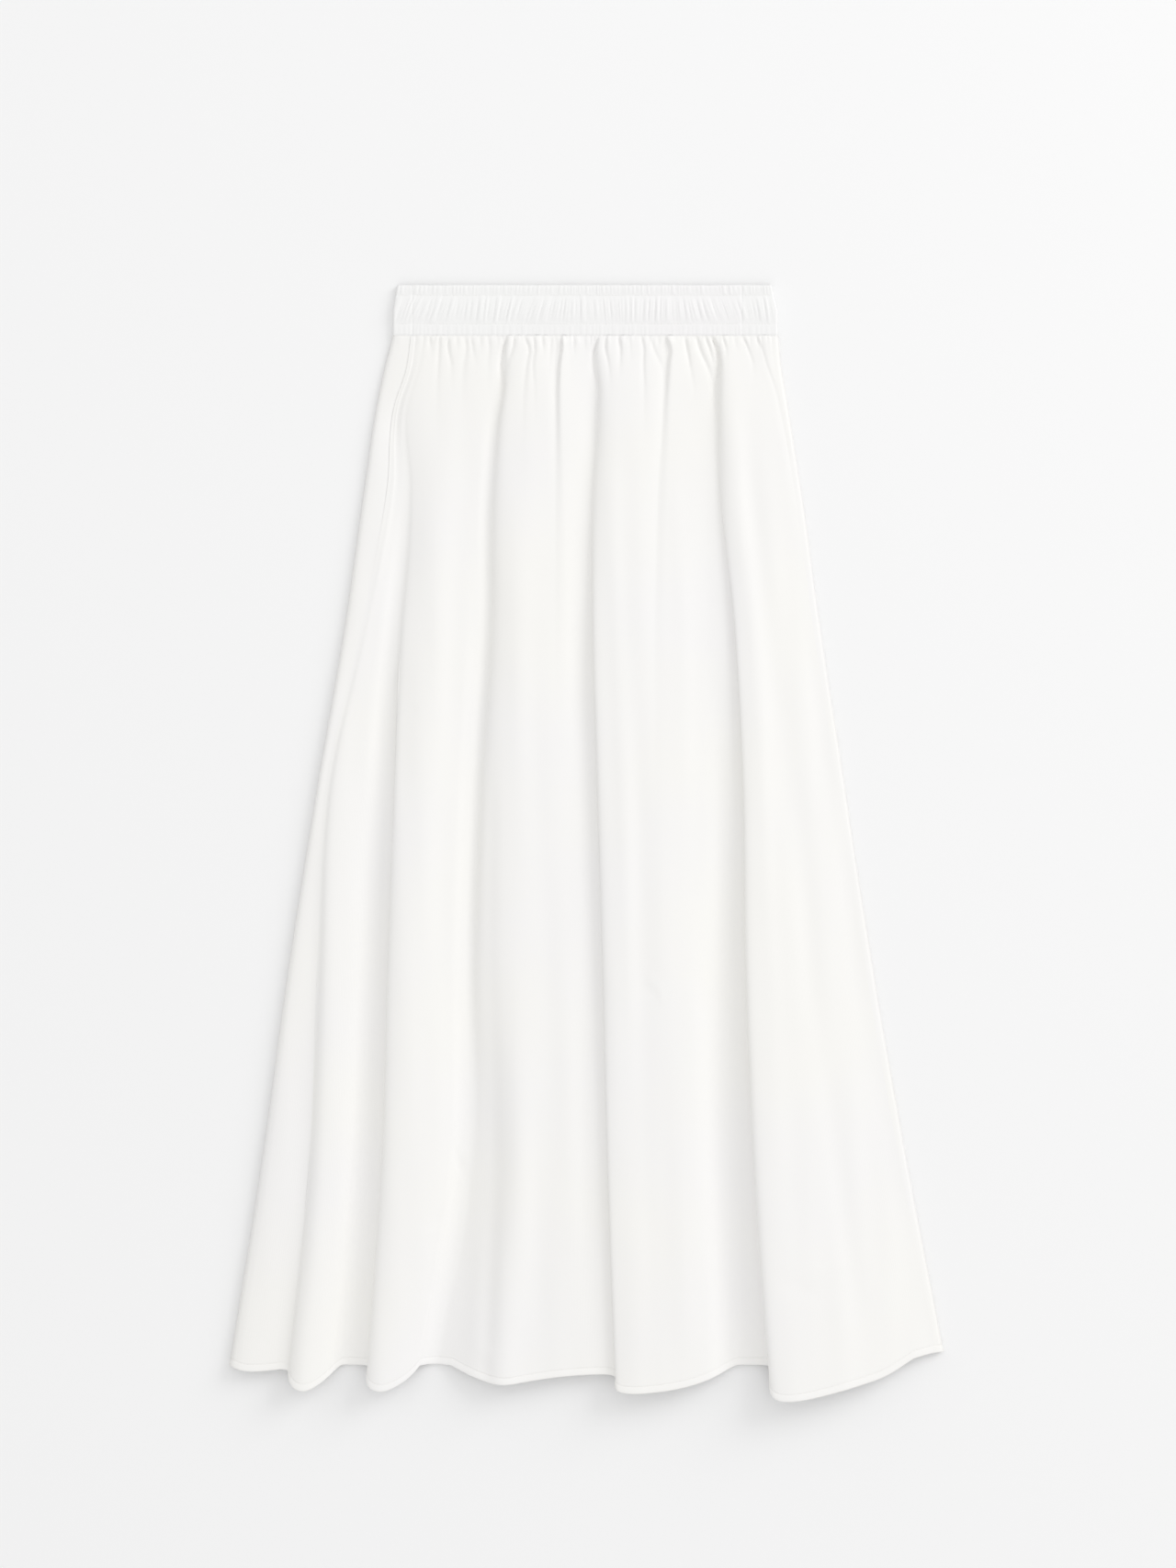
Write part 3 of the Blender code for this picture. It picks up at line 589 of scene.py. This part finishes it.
front = skirt_piece("front_cloth", 0.0, RIGHT_SEAM, FRONT_COLUMNS, FRONT_ROWS, FRONT_DIPS)
back = skirt_piece("back_cloth", RIGHT_SEAM, LOOP_END, BACK_COLUMNS, BACK_ROWS, BACK_DIPS)

# %% [markdown]
# ## The elastic waistband
# A casing of two layers holds a wide elastic. The elastic pulls the casing into dozens of small
# upright puffs with a sharp valley between each two. Two rows of stitching cross them: one
# under the narrow header at the top, and one above the seam. A puff is half a sine wave, and
# since each starts and ends at zero, every one can have its own height and length. Each row of
# PUFFS is one kind, between a low and a high edge of its own.

# %% The band's profile and its puffs
BAND_LEFT_SEAM, BAND_RIGHT_SEAM = -155.4, 138.2
BAND_ENDS = {"left": (-172.9, -172.6, -168.9), "right": (170.2, 169.8, 164.6)}
# The band's height off the table at each height above its seam, with a dent at both stitchings.
BAND_UP = (0.0, 1.5, 9.0, 10.5, 12.0, 16.0, 22.0, 29.5, 34.5, 36.0, 37.5, 41.0, 44.0, 45.0)
BAND_OUT = (4.5, 4.9, 4.95, 4.85, 4.95, 5.1, 5.15, 5.1, 4.95, 4.85, 4.95, 5.0, 4.9, 4.5)
BAND_ROUND = 1.5  # how far the turn at each end bulges
PUFFS = (
    dict(spacing=5.6, low=11.0, high=36.0, height=0.85, slant=0.26, seed=5),
    dict(spacing=3.4, low=12.0, high=35.0, height=0.50, slant=0.34, seed=19),
    dict(spacing=3.4, low=36.5, high=47.5, height=0.60, slant=0.10, seed=11),
    dict(spacing=4.2, low=-2.0, high=10.5, height=0.32, slant=0.00, seed=23),
)
LEANS = (  # the puffs lean one way at the left, the other at the right, and more in places
    dict(share=1.0, turn=112.0, start=-0.25),
    dict(share=0.45, turn=17.0, start=1.1),
)
PUFF_FULL, PUFF_SHORT, PUFF_SHORTER = 0.6, 0.5, 2.2
print("kinds of puff:", len(PUFFS))


def puff_height(x, up):
    """Half sine waves of uneven width: height * sin(pi t)^PUFF_FULL * sin(pi s)^k, where t runs
    across a puff and s up it. k is PUFF_SHORT for the tallest and up to PUFF_SHORTER more for a
    small one, which so fills less of the height. The lean is the sum of share * sin(x / turn +
    start) over LEANS."""
    rise = np.zeros(x.shape)
    for puffs in PUFFS:
        middle = (puffs["low"] + puffs["high"]) / 2
        waves = (w["share"] * np.sin(x / w["turn"] + w["start"]) for w in LEANS)
        lean = puffs["slant"] * sum(waves)
        t, tall = uneven_waves(x + lean * (up - middle), puffs["spacing"], puffs["seed"])
        s = np.clip((up - puffs["low"]) / (puffs["high"] - puffs["low"]), 0, 1)
        upright = np.sin(np.pi * s) ** (PUFF_SHORT + PUFF_SHORTER * (1 - tall))
        rise += puffs["height"] * tall * np.sin(np.pi * t) ** PUFF_FULL * upright
    return rise


def band_top(x, up):
    """The profile up the band plus its puffs."""
    return np.interp(up, BAND_UP, BAND_OUT) + puff_height(x, up)


# %% [markdown]
# The front of the band is a flat grid with that height. The back turns up round both ends, so
# its grid follows a loop: the right stretch of the top, half an ellipse, the underside, and the
# same at the left. At the band's top, one more row turns each piece in.

# %% Lay the two pieces of the band
BAND_STEP, BAND_ROWS = 0.62, 84
UNDER_COLUMNS, TURN_COLUMNS = 60, 16
TUCK_BACK, TUCK_DOWN, TUCK_UP = 0.1, 1.6, 0.9  # where that row lies, from the top or underneath
TUCK_PARTS = 2  # cloth higher than this is the top
DENT = dict(deep=0.3, wide=0.7)
band_up = np.linspace(0, BAND_HEIGHT, BAND_ROWS)[None, :]


def side_seam_dent(distance):
    """deep * exp(-(distance / wide)^2): the stitching pulls the cloth down at a side seam."""
    return DENT["deep"] * np.exp(-((distance / DENT["wide"]) ** 2))


def band_front():
    """x runs between the side seams, and the height is the band's top less the seams' dents."""
    count = round((BAND_RIGHT_SEAM - BAND_LEFT_SEAM) / BAND_STEP)
    x = np.linspace(BAND_LEFT_SEAM, BAND_RIGHT_SEAM, count)[:, None] + 0 * band_up
    near = np.minimum(x - BAND_LEFT_SEAM, BAND_RIGHT_SEAM - x)
    z = band_top(x, band_up) - side_seam_dent(near)
    points = np.stack([x, BAND_SEAM_Y + band_up + 0 * x, z], axis=-1)
    tucked = points[:, -1:] + np.array([0, -TUCK_BACK, -TUCK_DOWN])
    return np.concatenate([points, tucked], axis=1)


def band_back():
    """From the right seam the top runs out to the right end, turns under by half an ellipse,
    BAND_ROUND wide and as high as the cloth there, and the underside leads to the left."""
    half_turn = np.linspace(0, np.pi, TURN_COLUMNS)[1:, None]

    def stretch(seam, side, way):
        end = np.interp(band_up, (0, BAND_HEIGHT / 2, BAND_HEIGHT), BAND_ENDS[side])
        end = end - way * BAND_ROUND
        count = round(abs(end.mean() - seam) / BAND_STEP)
        x = mix(seam, end, np.linspace(0, 1, count)[:, None])
        z = band_top(x, band_up) - side_seam_dent(x - seam)
        half = z[-1:] / 2
        turned_x = end + way * BAND_ROUND * np.sin(half_turn)
        turned_z = half + half * np.cos(half_turn)
        return np.concatenate([x, turned_x]), np.concatenate([z, turned_z])

    right_x, right_z = stretch(BAND_RIGHT_SEAM, "right", 1)
    left_x, left_z = stretch(BAND_LEFT_SEAM, "left", -1)
    under = mix(right_x[-1:], left_x[-1:], np.linspace(0, 1, UNDER_COLUMNS)[1:-1, None])
    x = np.concatenate([right_x, under, left_x[::-1]])
    z = np.concatenate([right_z, 0 * under, left_z[::-1]])
    points = np.stack([x, BAND_SEAM_Y + band_up + 0 * x, z], axis=-1)
    inward = np.where(z[:, -1:] > TUCK_PARTS, -TUCK_DOWN, TUCK_UP)
    tucked = points[:, -1:] + np.stack([0 * inward, -TUCK_BACK + 0 * inward, inward], axis=-1)
    return np.concatenate([points, tucked], axis=1)


band_front_cloth = sheet_from_grid("waistband_front_cloth", band_front(), flip=True)
band_back_cloth = sheet_from_grid("waistband_back_cloth", band_back(), flip=True)

# %% [markdown]
# ## Stitches
# Rows of lockstitch hold the band and the hem. A stitch is a short thread that dips into the
# cloth at both ends. It is a six-sided spindle of a few faces, copied along each row as one
# mesh, because hundreds of separate objects would be slow to handle.

# %% A row of stitches along any line
STITCH_LENGTH, STITCH_GAP, THREAD = 2.4, 0.5, 0.13  # THREAD is the thread's radius
SPINDLE_AT = np.array([-1.0, -0.55, 0.0, 0.55, 1.0])
SPINDLE_WIDE = np.array([0.15, 0.85, 1.0, 0.85, 0.15])
RINGS, SIDES = len(SPINDLE_AT), 6
PROUD, SINK = 0.5, 0.6  # shares of THREAD


def stitches_along(line, normal):
    """Spindles along a polyline in mm, with their long axis on its tangent. Ring k of a stitch
    has the radius THREAD * SPINDLE_WIDE[k], and lies THREAD * (PROUD - SINK * |SPINDLE_AT[k]|^3)
    above the line, so that the ends dip in."""
    steps = np.linalg.norm(np.diff(line, axis=0), axis=-1)
    travelled = np.concatenate([[0], np.cumsum(steps)])
    pitch = STITCH_LENGTH + STITCH_GAP
    centres = np.arange(pitch, travelled[-1] - pitch / 2, pitch)
    at = centres[:, None] + SPINDLE_AT * STITCH_LENGTH / 2
    on_line = np.stack([np.interp(at, travelled, line[:, k]) for k in range(3)], axis=-1)
    up = np.stack([np.interp(at, travelled, normal[:, k]) for k in range(3)], axis=-1)
    along = on_line[:, -1:] - on_line[:, :1]
    along = along / np.linalg.norm(along, axis=-1, keepdims=True)
    side = np.cross(along, up)
    angle = np.linspace(0, 2 * np.pi, SIDES + 1)[:-1]
    radius = (THREAD * SPINDLE_WIDE)[None, :, None, None]
    above = (PROUD - SINK * np.abs(SPINDLE_AT) ** 3)[None, :, None, None] * THREAD
    ring = side[:, :, None] * np.cos(angle)[:, None] + up[:, :, None] * np.sin(angle)[:, None]
    return on_line[:, :, None] + up[:, :, None] * above + ring * radius


def stitch_mesh(name, rows_of_stitches):
    """Joins the spindles of many rows into one mesh: four faced bands round each, and a cap at
    both ends. The corners of every face run so that it points outwards."""
    spindles = np.concatenate([r.reshape(-1, RINGS, SIDES, 3) for r in rows_of_stitches])
    first = RINGS * SIDES * np.arange(len(spindles))[:, None, None]
    ring, side = np.meshgrid(np.arange(RINGS - 1), np.arange(SIDES), indexing="ij")
    a = SIDES * ring + side
    b = SIDES * ring + (side + 1) % SIDES
    tube = np.stack([a, a + SIDES, b + SIDES, b], axis=-1).reshape(1, -1, 4) + first
    start_cap = np.arange(SIDES)
    end_cap = RINGS * SIDES - 1 - start_cap
    caps = np.stack([start_cap, end_cap])[None] + first
    mesh = bpy.data.meshes.new(name)
    faces = tube.reshape(-1, 4).tolist() + caps.reshape(-1, SIDES).tolist()
    mesh.from_pydata((spindles.reshape(-1, 3) * MM).tolist(), [], faces)
    mesh.shade_smooth()
    piece = bpy.data.objects.new(name, mesh)
    bpy.context.scene.collection.objects.link(piece)
    print(name, "stitches:", len(spindles))
    return piece


def line_normals(points, beside):
    """Unit normals of a surface along a line: the way to a line beside it, cross its tangent."""
    tangent = np.gradient(points, axis=0)
    normal = np.cross(beside - points, tangent)
    return normal / np.linalg.norm(normal, axis=-1, keepdims=True)


# %% [markdown]
# The hem's stitches run all round the skirt, a little above its edge. The band has two rows:
# under the header, and above the seam.

# %% Sew the hem and the band
HEM_STEPS, BAND_STEPS = 1200, 900  # points of the line that the stitches follow
HEM_BESIDE, HEM_LIFT = 0.5, 0.05  # a second line below the stitches, and how far both lie out
HEM_MARGIN = 0.05  # share of a control point's stretch that is left at each side seam
BAND_STITCH_ROWS = (36.0, 10.5)
# The stretches of x that are stitched, clear of the side seams.
BAND_FRONT_SEWN = ((BAND_LEFT_SEAM + 2, BAND_RIGHT_SEAM - 2),)
BAND_BACK_SEWN = ((BAND_LEFT_SEAM - 14, BAND_LEFT_SEAM - 1),
                  (BAND_RIGHT_SEAM + 1, BAND_RIGHT_SEAM + 26))


def hem_stitches(start, end):
    """Stitches on the line at HEM_TURN above the hem's edge."""
    places = loop_places(start + HEM_MARGIN, end - HEM_MARGIN, HEM_STEPS)
    depth = SKIRT_LENGTH - np.array([HEM_TURN, HEM_TURN - HEM_BESIDE])
    both = skirt_surface(places, depth, -HEM_LIFT)
    normal = line_normals(both[:, 0], both[:, 1])
    return stitches_along(both[:, 0], -normal)


def band_stitches(stretches):
    """Both rows across each stretch of x, on the band's top."""
    rows = []
    for up in BAND_STITCH_ROWS:
        for start, end in stretches:
            x = np.linspace(start, end, BAND_STEPS)
            line = np.stack([x, BAND_SEAM_Y + up + 0 * x, band_top(x, up + 0 * x)], axis=-1)
            rows.append(stitches_along(line, np.array([[0.0, 0.0, 1.0]]) + 0 * line))
    return rows


front_hem_thread = stitch_mesh("front_hem_stitches", [hem_stitches(0, RIGHT_SEAM)])
back_hem_thread = stitch_mesh("back_hem_stitches", [hem_stitches(RIGHT_SEAM, LOOP_END)])
band_thread = stitch_mesh("waistband_front_stitches", band_stitches(BAND_FRONT_SEWN))
band_back_thread = stitch_mesh("waistband_back_stitches", band_stitches(BAND_BACK_SEWN))

# %% [markdown]
# ## Cotton poplin
# Poplin is a tight plain weave of fine cotton: matt, white with a trace of warmth, and smooth
# to the eye. Close up, its crosswise threads make a faint rib. A Principled shader with a high
# roughness and a soft sheen gives that. Its real threads are 0.2 mm apart, too fine to show at
# this size, so the weave is drawn about four times as coarse. The casing's white is a trace
# cooler than the skirt's.

# %% Colours from hex, and one helper that adds a node
def linear(hex_colour):
    """sRGB hex to linear light: ((c + 0.055) / 1.055)^2.4, or c / 12.92 when dark."""
    c = np.array([int(hex_colour[i:i + 2], 16) for i in (1, 3, 5)]) / 255
    value = np.where(c <= 0.04045, c / 12.92, ((c + 0.055) / 1.055) ** 2.4)
    return (*value.tolist(), 1.0)


def add_node(tree, kind, links=(), **settings):
    """Adds a node, sets its properties or, by name or number, its inputs, and links them."""
    node = tree.nodes.new(kind)
    for key, value in settings.items():
        if hasattr(node, key):
            setattr(node, key, value)
        else:
            node.inputs[key.replace("_", " ")].default_value = value
    for socket, source in links:
        tree.links.new(source, node.inputs[socket])
    return node


WAVE_PERIOD = np.pi / 10  # of Blender's Wave texture at scale 1
THREAD_SPACING = 0.888 * MM
SLUB_WIDTH, SLUB_LENGTH = 0.9 * MM, 9.0 * MM  # a thicker stretch of a cotton thread
TONE_SIZE = 160.0 * MM  # how far apart warmer and cooler patches of the white lie
TONE_SPREAD = (0.35, 0.65)  # the noise values that give the warmest and the coolest
WEAVE_HEIGHT = 0.1 * MM
PLY_SCALE, PLY_HEIGHT = 2500.0, 0.05 * MM  # the twisted plies of a sewing thread, 0.4 mm long


def poplin(name, warm, cool):
    """White cotton poplin, woven and bleached: matt with a soft sheen at grazing angles. Its
    white drifts a little between a warm and a cool tone over a few hand's widths."""
    material = bpy.data.materials.new(name)
    material.use_nodes = True
    tree = material.node_tree
    shader = tree.nodes["Principled BSDF"]
    shader.inputs["Roughness"].default_value = 0.78
    shader.inputs["Sheen Weight"].default_value = 0.12
    shader.inputs["Sheen Roughness"].default_value = 0.5
    shader.inputs["Specular IOR Level"].default_value = 0.25
    coords = add_node(tree, "ShaderNodeUVMap", uv_map="cloth")
    drift = add_node(tree, "ShaderNodeTexNoise", [("Vector", coords.outputs[0])],
                     Scale=1 / TONE_SIZE, Detail=1.0)
    tone = add_node(tree, "ShaderNodeValToRGB", [("Fac", drift.outputs["Fac"])])
    for end, place, colour in zip(tone.color_ramp.elements, TONE_SPREAD, (warm, cool)):
        end.position, end.color = place, linear(colour)
    tree.links.new(tone.outputs["Color"], shader.inputs["Base Color"])
    warp, weft = (
        add_node(tree, "ShaderNodeTexWave", [("Vector", coords.outputs[0])],
                 bands_direction=way, Scale=WAVE_PERIOD / THREAD_SPACING, Distortion=0.6)
        for way in "XY")
    stretch = add_node(tree, "ShaderNodeMapping", [("Vector", coords.outputs[0])],
                       Scale=(1 / SLUB_WIDTH, 1 / SLUB_LENGTH, 1))
    slubs = add_node(tree, "ShaderNodeTexNoise", [("Vector", stretch.outputs[0])],
                     Scale=1.0, Detail=2.0)
    weave = add_node(tree, "ShaderNodeMath", [(0, warp.outputs["Fac"]),
                                              (1, weft.outputs["Fac"])], operation="ADD")
    height = add_node(tree, "ShaderNodeMath", [(0, weave.outputs[0]),
                                               (1, slubs.outputs["Fac"])], operation="ADD")
    bump = add_node(tree, "ShaderNodeBump", [("Height", height.outputs[0])],
                    Strength=0.12, Distance=WEAVE_HEIGHT)
    tree.links.new(bump.outputs["Normal"], shader.inputs["Normal"])
    return material


def cotton_thread(name, hex_colour):
    """Spun cotton sewing thread, mercerised: a little smoother than the cloth, so a stitch
    catches the light, and its plies make it slightly rough."""
    material = bpy.data.materials.new(name)
    material.use_nodes = True
    tree = material.node_tree
    shader = tree.nodes["Principled BSDF"]
    shader.inputs["Base Color"].default_value = linear(hex_colour)
    shader.inputs["Roughness"].default_value = 0.6
    coords = add_node(tree, "ShaderNodeTexCoord")
    twist = add_node(tree, "ShaderNodeTexNoise", [("Vector", coords.outputs["Object"])],
                     Scale=PLY_SCALE)
    bump = add_node(tree, "ShaderNodeBump", [("Height", twist.outputs["Fac"])],
                    Strength=0.2, Distance=PLY_HEIGHT)
    tree.links.new(bump.outputs["Normal"], shader.inputs["Normal"])
    return material


skirt_poplin = poplin("white_cotton_poplin", "#F2F1EE", "#F1F0EF")
band_poplin = poplin("white_cotton_poplin_casing", "#F0F0EF", "#F0EFEF")
thread = cotton_thread("white_cotton_thread", "#EDECE9")
print("materials:", skirt_poplin.name, band_poplin.name, thread.name)

# %% [markdown]
# ## Tie each piece to the frame
# The new cloth stands for the plain solids, rides on the only body there is, and states the
# size that it was cut to: a skirt panel is a wide flared piece, gathered at its top.

# %% Which piece stands for which solid
CLOTHS = (
    (front, "skirt_front", skirt_poplin, (0.86, 0.98), 0.62, "gathered", ["skirt_back"]),
    (back, "skirt_back", skirt_poplin, (0.86, 0.98), 0.62, "gathered", []),
    (band_front_cloth, "waistband_front", band_poplin, (0.41, 0.047), None, "gathered",
     ["waistband_back"]),
    (band_back_cloth, "waistband_back", band_poplin, (0.53, 0.047), None, "gathered", []),
)
THREADS = {
    "front_cloth": front_hem_thread,
    "back_cloth": back_hem_thread,
    "waistband_front_cloth": band_thread,
    "waistband_back_cloth": band_back_thread,
}
for piece, node, material, flat, area, held, rests_on in CLOTHS:
    sewing = THREADS[piece.name]
    piece.data.materials.append(material)
    sewing.data.materials.append(thread)
    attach(piece, "root")
    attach(sewing, "root")
    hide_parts(node)
    print(piece.name, "stands for", node, "and is cut", flat[0], "by", flat[1], "m")

# %% [markdown]
# ## Table, light and camera
# The photograph was taken from straight above on a white surface, with one very soft light at
# the upper right and white walls all round. A big area light and a bright, even world give
# the same pale shadows at the left of every fold.

# %% The pale table
TABLE_SIZE, TABLE_DROP = 12, 0.2 * MM  # metres; just below the cloth, so that neither flickers
bpy.ops.mesh.primitive_plane_add(size=TABLE_SIZE, location=(0, 0, -TABLE_DROP))
table = bpy.context.object
table.name = "table"
# White board, painted and left to dry: fully matt, so the eye sees no glint on it.
board = bpy.data.materials.new("white_painted_board")
board.use_nodes = True
paint = board.node_tree.nodes["Principled BSDF"].inputs
paint["Base Color"].default_value = linear("#F2F2F2")
paint["Roughness"].default_value = 0.9
table.data.materials.append(board)
print("table:", TABLE_SIZE, "m across")

# %% A bright room, and a soft light from the upper right
HORIZON, ZENITH = 0.61, 1.04  # strength of the room's light from the side and from above
world = bpy.data.worlds.new("white_room")
bpy.context.scene.world = world
world.use_nodes = True
room = world.node_tree
sky = add_node(room, "ShaderNodeTexCoord")
height = add_node(room, "ShaderNodeSeparateXYZ", [(0, sky.outputs["Generated"])])
glow = add_node(room, "ShaderNodeMapRange", [("Value", height.outputs["Z"])],
                To_Min=HORIZON, To_Max=ZENITH)
room.links.new(glow.outputs[0], room.nodes["Background"].inputs["Strength"])
room.nodes["Background"].inputs["Color"].default_value = linear("#FFFFFF")


def area_light(name, place, aim, size, power):
    """A round softbox, in metres and watts, turned so that it faces the aim."""
    lamp = bpy.data.lights.new(name, "AREA")
    lamp.shape = "DISK"
    lamp.size = size
    lamp.energy = power
    holder = bpy.data.objects.new(name, lamp)
    holder.location = place
    direction = np.array(aim) - np.array(place)
    holder.rotation_euler = Vector(direction).to_track_quat("-Z", "Y").to_euler()
    bpy.context.scene.collection.objects.link(holder)


area_light("softbox_upper_right", place=(4.30, 3.30, 2.50), aim=(0.0, 0.0, 0.0), size=3.5,
           power=118.0)
print("room light:", HORIZON, "to", ZENITH, "and one softbox")

# %% Camera straight above
PIXEL = 0.82 * MM  # what one pixel of the photograph covers on the table
FRAME_HEIGHT = 1707 * PIXEL
LENS, SENSOR = 85, 36  # mm: a long lens, as for a garment that is photographed from above
CAMERA_X, CAMERA_Y = 1.2 * MM, 52.7 * MM  # the middle of the photograph, off the box's middle
camera_data = bpy.data.cameras.new("camera")
camera_data.lens = LENS
camera_data.sensor_width = SENSOR
camera = bpy.data.objects.new("camera", camera_data)
camera.location = (CAMERA_X, CAMERA_Y, FRAME_HEIGHT * LENS / SENSOR)
bpy.context.scene.collection.objects.link(camera)
bpy.context.scene.camera = camera
bpy.context.scene.view_settings.view_transform = "Standard"
bpy.context.scene.view_settings.look = "None"
print("camera at", [round(c, 3) for c in camera.location])
